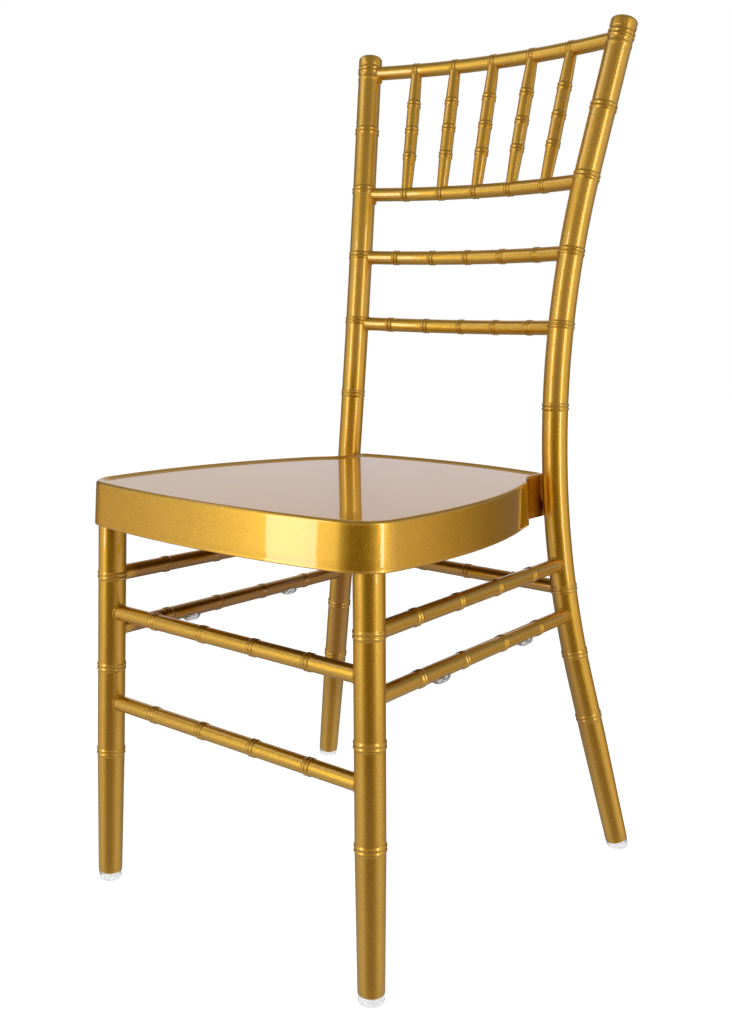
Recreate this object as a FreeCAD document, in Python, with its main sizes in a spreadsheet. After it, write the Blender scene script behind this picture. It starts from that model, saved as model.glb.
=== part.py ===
import FreeCAD, Part
import math
import os

import Sketcher

# Gold chiavari chair of welded steel tube, in millimetres.
# +Z is up, the sitter faces -Y, left is -X, and the origin is on the floor under the middle of the
# chair's box. Sizes that run front to back are counted from the axis of the front legs.

sizes = {
    # main tube, of the legs and back posts
    "tube_diameter": 28.0,
    "foot_diameter": 25.4,
    "swage_top": 140.0,
    "swage_length": 6.0,
    # small tube, of the rails, spindles and stretchers
    "bar_diameter": 16.0,
    "spindle_diameter": 15.4,
    # bamboo rings
    "ring_height": 0.9,
    "ring_width": 8.6,
    # front legs
    "leg_foot_out": 177.25,
    "leg_splay": 0.0349,
    "leg_top_clearance": 2.0,
    "leg_ring_low": 146.1,
    "leg_ring_middle": 239.7,
    "leg_ring_high": 337.2,
    # back posts: a straight foot run, one bend and a straight top run
    "post_foot_out": 219.3,
    "post_foot_back": 424.1,
    "post_corner_out": 118.3,
    "post_corner_back": 336.4,
    "post_corner_height": 484.9,
    "post_top_out": 168.85,
    "post_top_back": 422.64,
    "post_top_height": 921.5,
    "post_bend_radius": 1163.0,
    "longest_chord": 100.0,
    "post_ring_1": 159.9,
    "post_ring_2": 234.5,
    "post_ring_3": 309.6,
    # rings and rails of the back, as shares of the height from the seat to the post's top
    "post_ring_4": 0.1582,
    "post_ring_5": 0.3395,
    "post_ring_6": 0.4993,
    "post_ring_7": 0.6611,
    "post_ring_8": 0.8092,
    "post_ring_9": 0.9618,
    "crest_rail_share": 0.9579,
    "spindle_rail_share": 0.6533,
    "upper_rail_share": 0.4974,
    "lower_rail_share": 0.3333,
    # finial
    "cap_height": 12.5,
    "cap_diameter": 29.0,
    "cap_shoulder": 4.5,
    "cap_flat_diameter": 17.0,
    # bow of the rails of the back
    "rail_bow": 20.9,
    # where the spindles meet the two top rails
    "crest_spindle_pitch": 52.0,
    "rail_spindle_pitch": 47.0,
    # stretchers
    "front_upper_height": 298.5,
    "front_lower_height": 200.8,
    "side_upper_height": 336.9,
    "side_lower_height": 278.7,
    "rear_height": 309.0,
    # seat pan
    "seat_height": 434.0,
    "seat_front": 41.03,
    "seat_front_radius": 842.0,
    "seat_half_width": 189.5,
    "seat_widest_back": 103.0,
    "seat_side_radius": 768.0,
    "seat_side_end": 292.0,
    "seat_corner_radius": 44.0,
    "notch_clearance": 0.3,
    "notch_start": 331.0,
    "notch_bend_radius": 10.0,
    "seat_rear": 390.0,
    "seat_rear_radius": 474.0,
    "seat_edge": 4.0,
    "sheet": 1.5,
    "apron_front_depth": 41.5,
    "apron_rear_depth": 47.0,
    # braces under the seat
    "brace_width": 25.0,
    "brace_thickness": 3.0,
    "front_brace_back": 40.0,
    "rear_brace_back": 268.0,
    # glides and stacking bumpers
    "glide_diameter": 22.6,
    "glide_height": 6.0,
    "bumper_length": 20.0,
    "bumper_width": 14.0,
    "bumper_drop": 7.0,
    "bumper_front": 110.0,
    "bumper_rear": 272.0,
    # joints between pieces
    "weld_gap": 0.15,
    "seat_weld_diameter": 4.6,
    "seat_weld_length": 38.0,
}
spindle_count = 5
rail_chords = 5

doc = FreeCAD.newDocument("chiavari_chair")
sheet = doc.addObject("Spreadsheet::Sheet", "Sizes")
for row, (alias, amount) in enumerate(sizes.items(), start=1):
    sheet.set(f"A{row}", alias.replace("_", " "))
    sheet.set(f"B{row}", str(amount))
    sheet.setAlias(f"B{row}", alias)
doc.recompute()

vector = FreeCAD.Vector
up = vector(0, 0, 1)
nodes = []


def size(alias):
    return float(sheet.get(alias))


def value(expression):
    """Works out an expression on the sheet's cells."""
    return float(sheet.evalExpression(expression.replace("Sizes.", "")))


tube_radius = size("tube_diameter") / 2
bar_radius = size("bar_diameter") / 2
gap = size("weld_gap")


# Frames and paths

def frame_along(point, direction, side):
    """Placement with its origin at the point, Z along the direction and X towards the side."""
    z_axis = vector(direction).normalize()
    x_axis = (side - z_axis * side.dot(z_axis)).normalize()
    y_axis = z_axis.cross(x_axis)
    turn = FreeCAD.Rotation(x_axis, y_axis, z_axis, "ZXY")
    return FreeCAD.Placement(point, turn)


class ChordPath:
    """Bent axis of a tube, followed by a straight chord from each stop to the next."""

    def set_stops(self, stops, spots):
        self.stops = stops
        self.spots = spots

    def chord(self, along):
        """Number of the chord at a length along the axis."""
        number = 0
        while number < len(self.stops) - 2 and self.stops[number + 1] < along:
            number += 1
        return number

    def point(self, along):
        number = self.chord(along)
        start, end = self.stops[number], self.stops[number + 1]
        share = (along - start) / (end - start)
        return self.spots[number] + (self.spots[number + 1] - self.spots[number]) * share

    def way(self, along):
        number = self.chord(along)
        return (self.spots[number + 1] - self.spots[number]).normalize()


class PostPath(ChordPath):
    """Axis of one back post: foot run, bend and top run, all in one leaning plane."""

    def __init__(self, side, front_leg_y):
        self.foot = vector(side * size("post_foot_out"), size("post_foot_back") + front_leg_y, 0)
        corner = vector(side * size("post_corner_out"), size("post_corner_back") + front_leg_y,
                        size("post_corner_height"))
        top = vector(side * size("post_top_out"), size("post_top_back") + front_leg_y,
                     size("post_top_height"))
        self.low_way = (corner - self.foot).normalize()
        top_way = (top - corner).normalize()
        self.turn = self.low_way.getAngle(top_way)
        self.radius = size("post_bend_radius")
        reach = self.radius * math.tan(self.turn / 2)
        self.low_run = (corner - self.foot).Length - reach
        self.bend_end = self.low_run + self.radius * self.turn
        self.length = self.bend_end + (top - corner).Length - reach
        self.frame = frame_along(self.foot, self.low_way, top_way)
        self.sections = self.find_sections()
        stops = [along for along, radius in self.sections]
        self.set_stops(stops, [self.frame.multVec(self.place(along).Base) for along in stops])

    def place(self, along):
        """Placement square to the true bend, in the frame of the foot run."""
        angle = min(max((along - self.low_run) / self.radius, 0.0), self.turn)
        rest = max(along - self.bend_end, 0.0)
        across = self.radius * (1 - math.cos(angle)) + rest * math.sin(angle)
        rise = min(along, self.low_run) + self.radius * math.sin(angle) + rest * math.cos(angle)
        return FreeCAD.Placement(vector(across, 0, rise),
                                 FreeCAD.Rotation(vector(0, 1, 0), math.degrees(angle)))

    def at_height(self, height):
        """Length along the axis at which it reaches a height."""
        low, high = 0.0, self.length
        for halving in range(50):
            middle = (low + high) / 2
            if self.frame.multVec(self.place(middle).Base).z < height:
                low = middle
            else:
                high = middle
        return (low + high) / 2

    def find_sections(self):
        """Length along the axis and radius of each section, from the foot to the finial."""
        half = size("ring_width") / 2
        tube = "Sizes.tube_diameter / 2"
        ring = f"{tube} + Sizes.ring_height"
        foot = "Sizes.foot_diameter / 2"
        marks = [(size("glide_height"), foot), (size("swage_top") - size("swage_length"), foot),
                 (size("swage_top"), tube)]
        heights = [size(f"post_ring_{number}") for number in (1, 2, 3)]
        heights += [back_height(f"post_ring_{number}") for number in range(4, 10)]
        for height in heights:
            along = self.at_height(height)
            before = marks[-1][0]
            gap_length = along - half - before
            if along > self.low_run and before < self.bend_end:
                cuts = math.ceil(gap_length / size("longest_chord"))
                marks += [(before + gap_length * cut / cuts, tube) for cut in range(1, cuts)]
            marks += [(along - half, tube), (along, ring), (along + half, tube)]
        cap = "Sizes.cap_diameter / 2"
        shoulder = self.length - size("cap_shoulder")
        marks += [(self.length - size("cap_height"), cap), (shoulder, cap),
                  (self.length, "Sizes.cap_flat_diameter / 2")]
        return marks


def back_height(alias):
    """Height of something on the back, from its share of the way from the seat to the post's top."""
    return size("seat_height") + size(alias) * (size("post_top_height") - size("seat_height"))


# the chair's box runs from the front of the seat to the back of the bowed crest rail
crest_end = PostPath(1, 0.0)
crest_back = crest_end.point(crest_end.at_height(back_height("crest_rail_share"))).y
rear_reach = crest_back + size("rail_bow") + bar_radius
front_leg_y = (size("seat_front") - rear_reach) / 2
posts = {side: PostPath(side, front_leg_y) for side in (-1, 1)}
side_names = {-1: "left", 1: "right"}


def leg_point(side, height):
    return vector(side * (size("leg_foot_out") - size("leg_splay") * height), front_leg_y, height)


def leg_way(side):
    return (leg_point(side, 1.0) - leg_point(side, 0.0)).normalize()


def post_point(side, height):
    return posts[side].point(posts[side].at_height(height))


def post_way(side, height):
    return posts[side].way(posts[side].at_height(height))


# Sketches and features

def origin_plane(body, role):
    return [part for part in body.Origin.OriginFeatures if part.Role == role][0]


def new_body(name):
    body = doc.addObject("PartDesign::Body", name)
    body.Label = name
    return body


def new_sketch(body, name, role, offset=None):
    sketch = body.newObject("Sketcher::SketchObject", name)
    sketch.AttachmentSupport = [(origin_plane(body, role), "")]
    sketch.MapMode = "FlatFace"
    if offset is not None:
        sketch.AttachmentOffset = offset
    return sketch


def bind(sketch, kind, first, second, expression):
    """One distance from the sketch's origin to a vertex, driven by the sheet."""
    number = sketch.addConstraint(
        Sketcher.Constraint(kind, -1, 1, first, second, value(expression)))
    sketch.setExpression(f"Constraints[{number}]", expression)


def polygon(sketch, corners):
    """Closed outline whose corners are pairs of expressions on the sheet."""
    spots = [vector(value(across), value(height), 0) for across, height in corners]
    for number, spot in enumerate(spots):
        following = spots[(number + 1) % len(spots)]
        sketch.addGeometry(Part.LineSegment(spot, following), False)
    for number, (across, height) in enumerate(corners):
        following = (number + 1) % len(corners)
        sketch.addConstraint(Sketcher.Constraint("Coincident", number, 2, following, 1))
        bind(sketch, "DistanceX", number, 1, across)
        bind(sketch, "DistanceY", number, 1, height)


def revolve(body, name, sketch):
    feature = body.newObject("PartDesign::Revolution", name)
    feature.Profile = sketch
    feature.ReferenceAxis = (sketch, ["V_Axis"])
    feature.Angle = 360
    sketch.Visibility = False
    return feature


def round_section(body, name, place, radius):
    """Circle square to a path, its radius an expression on the sheet."""
    sketch = new_sketch(body, name, "XY_Plane", place)
    sketch.addGeometry(Part.Circle(vector(), up, value(radius)), False)
    sketch.addConstraint(Sketcher.Constraint("Coincident", 0, 3, -1, 1))
    number = sketch.addConstraint(Sketcher.Constraint("Radius", 0, value(radius)))
    sketch.setExpression(f"Constraints[{number}]", radius)
    sketch.Visibility = False
    return sketch


def round_loft(body, sections):
    """Bent tube through circles, straight from each one to the next. Closed tubes are solid."""
    sketches = [round_section(body, f"{body.Name}_section_{number}", place, radius)
                for number, (place, radius) in enumerate(sections, start=1)]
    feature = body.newObject("PartDesign::AdditiveLoft", f"{body.Name}_tube")
    feature.Profile = sketches[0]
    feature.Sections = sketches[1:]
    feature.Ruled = True


def cylinder(name, point, direction, radius, before, after):
    """Cutting cylinder on an axis through the point, reaching before and after it."""
    tool = doc.addObject("Part::Cylinder", name)
    tool.Radius = radius
    tool.Height = before + after
    way = vector(direction).normalize()
    tool.Placement = FreeCAD.Placement(point - way * before, FreeCAD.Rotation(up, way))
    return tool


def cut(name, base, tools):
    """The piece itself: a blank with the seats of its neighbours taken out."""
    tool = tools[0]
    if len(tools) > 1:
        tool = doc.addObject("Part::MultiFuse", f"{name}_seats")
        tool.Shapes = tools
    piece = doc.addObject("Part::Cut", f"{name}_piece")
    piece.Base = base
    piece.Tool = tool
    return piece


def keep(name, piece):
    piece.Label = name
    nodes.append((name, piece))


def blank(name):
    return new_body(f"{name}_blank")


# Straight small tubes, coped onto what carries them

def bar(name, start, end, diameter, seats):
    """Tube from axis to axis. Each seat is an axis point, its direction and the radius of what
    the tube is welded to."""
    body = blank(name)
    pad = body.newObject("PartDesign::Pad", f"{name}_tube")
    pad.Profile = round_section(body, f"{name}_section", FreeCAD.Placement(),
                                f"Sizes.{diameter} / 2")
    pad.Length = (end - start).Length
    body.Placement = frame_along(start, end - start, vector(0.31, 0.17, 0.93))
    tools = [cylinder(f"{name}_seat_{number}", point, way, radius, 3 * tube_radius, 3 * tube_radius)
             for number, (point, way, radius) in enumerate(seats, start=1)]
    keep(name, cut(name, body, tools))


# Front legs

def front_leg(side):
    """Straight tube from the glide to just under the seat, with three rings."""
    name = f"front_leg_{side_names[side]}"
    body = new_body(name)
    lean = math.sqrt(1 + size("leg_splay") ** 2)
    top = f"(Sizes.seat_height - Sizes.sheet - Sizes.leg_top_clearance) * {lean}"
    foot, tube = "Sizes.foot_diameter / 2", "Sizes.tube_diameter / 2"
    middle = "0 * Sizes.tube_diameter"
    corners = [(middle, "Sizes.glide_height"), (foot, "Sizes.glide_height"),
               (foot, "Sizes.swage_top - Sizes.swage_length"), (tube, "Sizes.swage_top")]
    for alias in ("leg_ring_low", "leg_ring_middle", "leg_ring_high"):
        spot = f"Sizes.{alias} * {lean}"
        corners += [(tube, f"{spot} - Sizes.ring_width / 2"), (f"{tube} + Sizes.ring_height", spot),
                    (tube, f"{spot} + Sizes.ring_width / 2")]
    corners += [(tube, top), (middle, top)]
    profile = new_sketch(body, f"{name}_profile", "XZ_Plane")
    polygon(profile, corners)
    revolve(body, f"{name}_tube", profile)
    body.Placement = frame_along(leg_point(side, 0.0), leg_way(side), vector(0, 1, 0))
    keep(name, body)


# Back posts

def back_post(side):
    name = f"rear_post_{side_names[side]}"
    path = posts[side]
    body = new_body(name)
    round_loft(body, [(path.place(along), radius) for along, radius in path.sections])
    body.Placement = path.frame
    keep(name, body)


def group(name, pieces):
    """Matching small pieces kept in one node."""
    together = doc.addObject("Part::Compound", f"{name}_group")
    together.Links = pieces
    keep(name, together)


def glide(name, point, way):
    """Clear foot under the tube, its sole cut level with the floor."""
    body = blank(name)
    profile = new_sketch(body, f"{name}_profile", "XZ_Plane")
    rim = "Sizes.glide_diameter / 2"
    sole = "-Sizes.glide_height"
    middle = "0 * Sizes.glide_height"
    polygon(profile, [(middle, sole), (rim, sole),
                      (rim, "Sizes.glide_height"), (middle, "Sizes.glide_height")])
    revolve(body, f"{name}_puck", profile)
    body.Placement = frame_along(point, way, vector(0, 1, 0))
    floor = doc.addObject("Part::Box", f"{name}_floor")
    floor.Length = 3 * size("glide_diameter")
    floor.Width = 3 * size("glide_diameter")
    floor.Height = 3 * size("glide_height")
    floor.Placement = FreeCAD.Placement(
        point - vector(floor.Length.Value / 2, floor.Width.Value / 2, floor.Height.Value),
        FreeCAD.Rotation())
    return cut(name, body, [floor])


# Bowed rails of the back

class RailPath(ChordPath):
    """Level arc from post to post, bowed to the back, in chords that lie against it."""

    def __init__(self, height):
        self.height = height
        end = post_point(1, height)
        bow = size("rail_bow")
        radius = (end.x ** 2 + bow ** 2) / (2 * bow)
        half_turn = math.asin(end.x / radius)
        step = 2 * half_turn / rail_chords
        far = radius / math.cos(step / 2)
        spots = [vector(-end.x, end.y, height)]
        for number in range(1, rail_chords):
            angle = number * step - half_turn
            back = end.y + bow - radius + far * math.cos(angle)
            spots.append(vector(far * math.sin(angle), back, height))
        spots.append(vector(end.x, end.y, height))
        self.set_stops([spot.x for spot in spots], spots)

    def sections(self):
        """Placements along the axis; both end chords run square to theirs, so they cope cleanly."""
        ways = [(after - before).normalize() for before, after in zip(self.spots, self.spots[1:])]
        middles = [(before + after).normalize() for before, after in zip(ways[1:], ways[2:-1])]
        turns = [ways[0], ways[0]] + middles + [ways[-1], ways[-1]]
        return [(frame_along(spot, way, up), "Sizes.bar_diameter / 2")
                for spot, way in zip(self.spots, turns)]


def bowed_rail(name, path):
    """Tube bent to the arc, its ends coped to the posts."""
    body = blank(name)
    round_loft(body, path.sections())
    reach = 3 * tube_radius
    seat_radius = tube_radius + size("ring_height") + gap
    tools = [cylinder(f"{name}_seat_{side_names[side]}", post_point(side, path.height),
                      post_way(side, path.height), seat_radius, reach, reach) for side in (-1, 1)]
    keep(name, cut(name, body, tools))


# Seat

def weld_spot(side):
    """Axis point of the post behind the middle of the seat's weld."""
    return post_point(side, size("seat_height") - size("seat_edge") - size("seat_weld_length") / 2)


def notch_wall():
    """Half width between the notches, whose walls stand just inside the posts."""
    return weld_spot(1).x - tube_radius - size("notch_clearance")


class SeatOutline:
    """Plan of the seat, drawn in from the outer face of the apron by an inset."""

    def __init__(self, inset):
        self.half = size("seat_half_width") - inset
        self.widest = size("seat_widest_back")
        self.side_radius = size("seat_side_radius") - inset
        self.front = size("seat_front") - inset
        self.front_radius = size("seat_front_radius") - inset
        self.rear = size("seat_rear") - inset
        self.rear_radius = size("seat_rear_radius") - inset
        self.notch_out = notch_wall() - inset
        self.side_end = size("seat_side_end")
        self.notch_start = size("notch_start") - inset * 0.5
        corner = size("seat_corner_radius") - inset
        bend = size("notch_bend_radius")
        self.rounds = [corner, bend - inset, bend + inset, bend - inset,
                       bend - inset, bend + inset, bend - inset, corner]

    def side_out(self, back):
        rise = math.sqrt(self.side_radius ** 2 - (back - self.widest) ** 2)
        return self.half - self.side_radius + rise

    def front_back(self, out):
        return self.front_radius - self.front - math.sqrt(self.front_radius ** 2 - out ** 2)

    def rear_back(self, out):
        return self.rear - self.rear_radius + math.sqrt(self.rear_radius ** 2 - out ** 2)

    def corners(self):
        """Front corner, end of the side, start of the notch and rear corner, on the right."""
        out = self.side_out(0.0)
        for step in range(20):
            out = self.side_out(self.front_back(out))
        return [(out, self.front_back(out)), (self.side_out(self.side_end), self.side_end),
                (self.notch_out, self.notch_start), (self.notch_out, self.rear_back(self.notch_out))]

    def edges(self):
        """Arcs and lines, anticlockwise from the front, with every corner rounded."""
        right = [vector(out, back, 0) for out, back in self.corners()]
        left = [vector(-spot.x, spot.y, 0) for spot in right]
        halfway = (right[0].y + right[1].y) / 2
        side = vector(self.side_out(halfway), halfway, 0)
        loop = [Part.Arc(left[0], vector(0, -self.front, 0), right[0]),
                Part.Arc(right[0], side, right[1]),
                Part.LineSegment(right[1], right[2]),
                Part.LineSegment(right[2], right[3]),
                Part.Arc(right[3], vector(0, self.rear, 0), left[3]),
                Part.LineSegment(left[3], left[2]),
                Part.LineSegment(left[2], left[1]),
                Part.Arc(left[1], vector(-side.x, side.y, 0), left[0])]
        shapes = [piece.toShape() for piece in loop]
        meets = right + left[::-1]
        arcs = []
        for number, (radius, meet) in enumerate(zip(self.rounds, meets)):
            following = (number + 1) % len(shapes)
            corner = Part.ChFi2d.FilletAPI()
            corner.init(shapes[number], shapes[following], Part.Plane(vector(), up))
            corner.perform(radius)
            arc, shapes[number], shapes[following] = corner.result(meet)
            arcs.append(arc)
        return Part.sortEdges(shapes + arcs)[0]


def seat_form(name, inset, depth, edge):
    """Block on the seat's plan, chamfered along its top edge."""
    body = blank(name)
    outline = new_sketch(body, f"{name}_outline", "XY_Plane")
    for shape in SeatOutline(inset).edges():
        start, end = shape.Vertexes[0].Point, shape.Vertexes[-1].Point
        if isinstance(shape.Curve, Part.Circle):
            middle = shape.valueAt((shape.FirstParameter + shape.LastParameter) / 2)
            outline.addGeometry(Part.Arc(start, middle, end), False)
        else:
            outline.addGeometry(Part.LineSegment(start, end), False)
    pad = body.newObject("PartDesign::Pad", f"{name}_block")
    pad.Profile = outline
    pad.Length = depth
    pad.Reversed = True
    outline.Visibility = False
    doc.recompute()
    rim = body.newObject("PartDesign::Chamfer", f"{name}_rim")
    rim.Base = (pad, [f"Edge{number}" for number, shape in enumerate(pad.Shape.Edges, start=1)
                      if shape.BoundBox.ZMin > -gap])
    rim.Size = edge
    return body


def seat_pan():
    """Pressed sheet: a flat top, a turned-down apron and a notch round each post."""
    name = "seat_pan"
    thick = size("sheet")
    edge = size("seat_edge")
    deep = size("apron_rear_depth") + 2 * edge
    outer = seat_form(name, 0.0, deep, edge)
    # the chamfer of the hollow keeps the sheet as thick there as it is elsewhere
    hollow = seat_form(f"{name}_hollow", thick, deep, edge - thick * (2 - math.sqrt(2)))
    place = vector(0, front_leg_y, size("seat_height"))
    outer.Placement = FreeCAD.Placement(place, FreeCAD.Rotation())
    hollow.Placement = FreeCAD.Placement(place - up * thick, FreeCAD.Rotation())
    # the foot of the apron slopes down to the back
    run = size("seat_rear") + size("seat_front")
    slope = math.atan((size("apron_rear_depth") - size("apron_front_depth")) / run)
    below = doc.addObject("Part::Box", f"{name}_foot_line")
    below.Length = 2 * run
    below.Width = 2 * run
    below.Height = deep
    turn = FreeCAD.Rotation(vector(1, 0, 0), -math.degrees(slope))
    hinge = place - vector(0, size("seat_front"), size("apron_front_depth"))
    below.Placement = FreeCAD.Placement(hinge + turn.multVec(vector(-run, -run / 2, -deep)), turn)
    keep(name, cut(name, outer, [hollow, below]))


def apron_inner(back):
    """Half width inside the apron at a place front to back."""
    return SeatOutline(size("sheet")).side_out(back)


def seat_brace(name, back):
    """Flat bar on edge under the seat, from apron to apron."""
    body = new_body(name)
    section = new_sketch(body, f"{name}_section", "YZ_Plane")
    width = "Sizes.brace_width"
    thick = "Sizes.brace_thickness / 2"
    polygon(section, [(f"-{thick}", f"-{width}"), (thick, f"-{width}"),
                      (thick, "0 * Sizes.brace_width"), (f"-{thick}", "0 * Sizes.brace_width")])
    bar_length = 2 * (apron_inner(back) - gap)
    pad = body.newObject("PartDesign::Pad", f"{name}_bar")
    pad.Profile = section
    pad.Length = bar_length
    pad.SideType = "Symmetric"
    section.Visibility = False
    top = size("seat_height") - size("sheet") - gap
    body.Placement = FreeCAD.Placement(vector(0, front_leg_y + back, top), FreeCAD.Rotation())
    keep(name, body)


def seat_weld(side):
    """Weld bead that fills the corner between the notch wall and the post."""
    name = f"seat_weld_{side_names[side]}"
    height = size("seat_height") - size("seat_edge")
    post = weld_spot(side)
    radius = size("seat_weld_diameter") / 2
    reach = tube_radius + radius
    forward = math.sqrt(reach ** 2 - (reach - 2 * radius + size("notch_clearance")) ** 2)
    spot = vector(side * (notch_wall() + radius), post.y - forward, height)
    rod = doc.addObject("Part::Cylinder", f"{name}_rod")
    rod.Radius = radius
    rod.Height = size("seat_weld_length")
    rod.Placement = FreeCAD.Placement(spot - up * size("seat_weld_length"), FreeCAD.Rotation())
    tool = cylinder(f"{name}_post", post, post_way(side, post.z), tube_radius + gap,
                    size("seat_weld_length"), size("seat_weld_length"))
    form = seat_form(f"{name}_seat", -gap, size("apron_rear_depth"), size("seat_edge"))
    form.Placement = FreeCAD.Placement(vector(0, front_leg_y, size("seat_height")), FreeCAD.Rotation())
    return cut(name, rod, [tool, form])


# Stacking bumpers

def bumper(name, start, end, along):
    """Clear saddle clipped under a lower side stretcher."""
    body = blank(name)
    section = new_sketch(body, f"{name}_section", "XY_Plane")
    half = "Sizes.bumper_width / 2"
    low = "-Sizes.bar_diameter / 2 - Sizes.bumper_drop"
    polygon(section, [(f"-{half}", "0 * Sizes.bumper_drop"),
                      (f"-{half}", f"{low} + Sizes.bumper_width / 4"),
                      (f"-{half} * 0.6", low), (f"{half} * 0.6", low),
                      (half, f"{low} + Sizes.bumper_width / 4"), (half, "0 * Sizes.bumper_drop")])
    pad = body.newObject("PartDesign::Pad", f"{name}_pad")
    pad.Profile = section
    pad.setExpression("Length", "Sizes.bumper_length")
    pad.SideType = "Symmetric"
    section.Visibility = False
    way = (end - start).normalize()
    across = up.cross(way).normalize()
    turn = FreeCAD.Rotation(across, way.cross(across), way, "ZXY")
    middle = start + way * along
    body.Placement = FreeCAD.Placement(middle, turn)
    tool = cylinder(f"{name}_seat", middle, way, bar_radius + gap, size("bumper_length"),
                    size("bumper_length"))
    keep(name, cut(name, body, [tool]))


for side in (-1, 1):
    front_leg(side)
    back_post(side)
group("front_glides", [glide(f"front_glide_{side_names[side]}", leg_point(side, 0.0), leg_way(side))
                       for side in (-1, 1)])
group("rear_glides", [glide(f"rear_glide_{side_names[side]}", posts[side].foot, posts[side].low_way)
                      for side in (-1, 1)])

rails = {name: RailPath(back_height(f"{name}_share"))
         for name in ("crest_rail", "spindle_rail", "upper_rail", "lower_rail")}
for name, path in rails.items():
    bowed_rail(name, path)

# spindles stand between the two top rails
crest = rails["crest_rail"]
second = rails["spindle_rail"]
for number in range(1, spindle_count + 1):
    place = number - (spindle_count + 1) / 2
    high = crest.point(place * size("crest_spindle_pitch"))
    low = second.point(place * size("rail_spindle_pitch"))
    bar(f"spindle_{number}", high, low, "spindle_diameter",
        [(high, crest.way(high.x), bar_radius + gap), (low, second.way(low.x), bar_radius + gap)])

plain_seat = tube_radius + gap
ring_seat = plain_seat + size("ring_height")
for name, alias in (("front_stretcher_upper", "front_upper_height"),
                    ("front_stretcher_lower", "front_lower_height")):
    ends = [leg_point(side, size(alias)) for side in (-1, 1)]
    bar(name, ends[0], ends[1], "bar_diameter",
        [(end, leg_way(side), plain_seat) for side, end in zip((-1, 1), ends)])
for side in (-1, 1):
    for level, alias, leg_seat in (("upper", "side_upper_height", ring_seat),
                                   ("lower", "side_lower_height", plain_seat)):
        front = leg_point(side, size(alias))
        back = post_point(side, size(alias))
        bar(f"side_stretcher_{level}_{side_names[side]}", front, back, "bar_diameter",
            [(front, leg_way(side), leg_seat),
             (back, post_way(side, size(alias)), plain_seat)])
        if level == "lower":
            for spot in ("front", "rear"):
                bumper(f"stacking_bumper_{spot}_{side_names[side]}", front, back, size(f"bumper_{spot}"))
ends = [post_point(side, size("rear_height")) for side in (-1, 1)]
bar("rear_stretcher", ends[0], ends[1], "bar_diameter",
    [(end, post_way(side, size("rear_height")), ring_seat) for side, end in zip((-1, 1), ends)])

seat_pan()
seat_brace("seat_brace_front", size("front_brace_back"))
seat_brace("seat_brace_rear", size("rear_brace_back"))
group("seat_welds", [seat_weld(side) for side in (-1, 1)])

doc.recompute()
for item in doc.Objects:
    if "Invalid" in item.State or "Error" in item.State:
        raise RuntimeError(f"{item.Label} failed: {item.State}")
os.makedirs("parts", exist_ok=True)
for name, piece in nodes:
    shape = piece.Shape
    if shape.isNull() or not shape.isValid():
        raise RuntimeError(f"{name} has no valid shape")
for name, piece in nodes:
    piece.Shape.exportStep(f"parts/{name}.step")
    box = piece.Shape.BoundBox
    print(name, len(piece.Shape.Solids), round(piece.Shape.Volume), box)
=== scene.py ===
# Gold chiavari chair of welded steel tube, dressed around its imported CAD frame.
# Metres; +Z up, the sitter faces -Y, left is -X, origin on the floor under the middle of the box.
import math

import bmesh
import bpy
from mathutils import Matrix, Vector


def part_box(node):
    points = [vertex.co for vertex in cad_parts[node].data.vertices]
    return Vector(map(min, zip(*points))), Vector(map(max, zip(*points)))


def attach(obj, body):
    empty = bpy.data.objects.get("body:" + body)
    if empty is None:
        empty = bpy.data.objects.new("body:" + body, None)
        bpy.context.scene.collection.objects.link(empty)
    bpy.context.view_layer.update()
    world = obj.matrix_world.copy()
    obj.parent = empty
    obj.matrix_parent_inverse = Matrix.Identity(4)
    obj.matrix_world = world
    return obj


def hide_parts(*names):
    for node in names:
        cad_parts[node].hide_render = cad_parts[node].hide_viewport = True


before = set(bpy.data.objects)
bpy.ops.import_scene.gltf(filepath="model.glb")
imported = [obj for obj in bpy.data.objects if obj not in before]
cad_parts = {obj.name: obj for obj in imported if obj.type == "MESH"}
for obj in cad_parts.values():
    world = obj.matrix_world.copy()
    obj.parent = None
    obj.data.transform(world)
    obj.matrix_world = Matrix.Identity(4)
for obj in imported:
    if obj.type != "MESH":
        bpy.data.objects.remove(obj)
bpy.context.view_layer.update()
scene = bpy.context.scene
up = Vector((0, 0, 1))
print("frame loaded:", len(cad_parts), "nodes")


# meshes and objects

def newMesh(name, points, edges=(), faces=()):
    mesh = bpy.data.meshes.new(name)
    mesh.from_pydata(points, edges, faces)
    return mesh


def addObject(name, data):
    added = bpy.data.objects.new(name, data)
    scene.collection.objects.link(added)
    return added


# camera

cameraView = {
    "place": (0.705797, -0.925957, 0.595882),
    "yaw": 37.108,  # degrees, turned from +Y towards -X
    "pitch": -9.694,
    "roll": 1.278,
    "focalPixels": 1100.783,
    "framePixels": 1024,  # the longer side of the picture
    "sensor": 36.0,
    "clip": (0.05, 60),
}


def makeCamera(view):
    yaw, pitch, roll = (math.radians(view[part]) for part in ("yaw", "pitch", "roll"))
    ahead = Vector((-math.sin(yaw) * math.cos(pitch), math.cos(yaw) * math.cos(pitch), math.sin(pitch)))
    level = Vector((math.cos(yaw), math.sin(yaw), 0))
    over = level.cross(ahead)
    right = level * math.cos(roll) + over * math.sin(roll)
    top = over * math.cos(roll) - level * math.sin(roll)
    data = bpy.data.cameras.new("photoCamera")
    data.sensor_width = view["sensor"]
    data.lens = view["focalPixels"] * view["sensor"] / view["framePixels"]
    data.clip_start, data.clip_end = view["clip"]
    camera = addObject("photoCamera", data)
    turn = Matrix((right, top, -ahead)).transposed().to_4x4()
    camera.matrix_world = Matrix.Translation(view["place"]) @ turn
    scene.camera = camera


makeCamera(cameraView)
print("camera set")


# node graphs: a socket that takes part in Python sums, and one way to add a node

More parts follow.
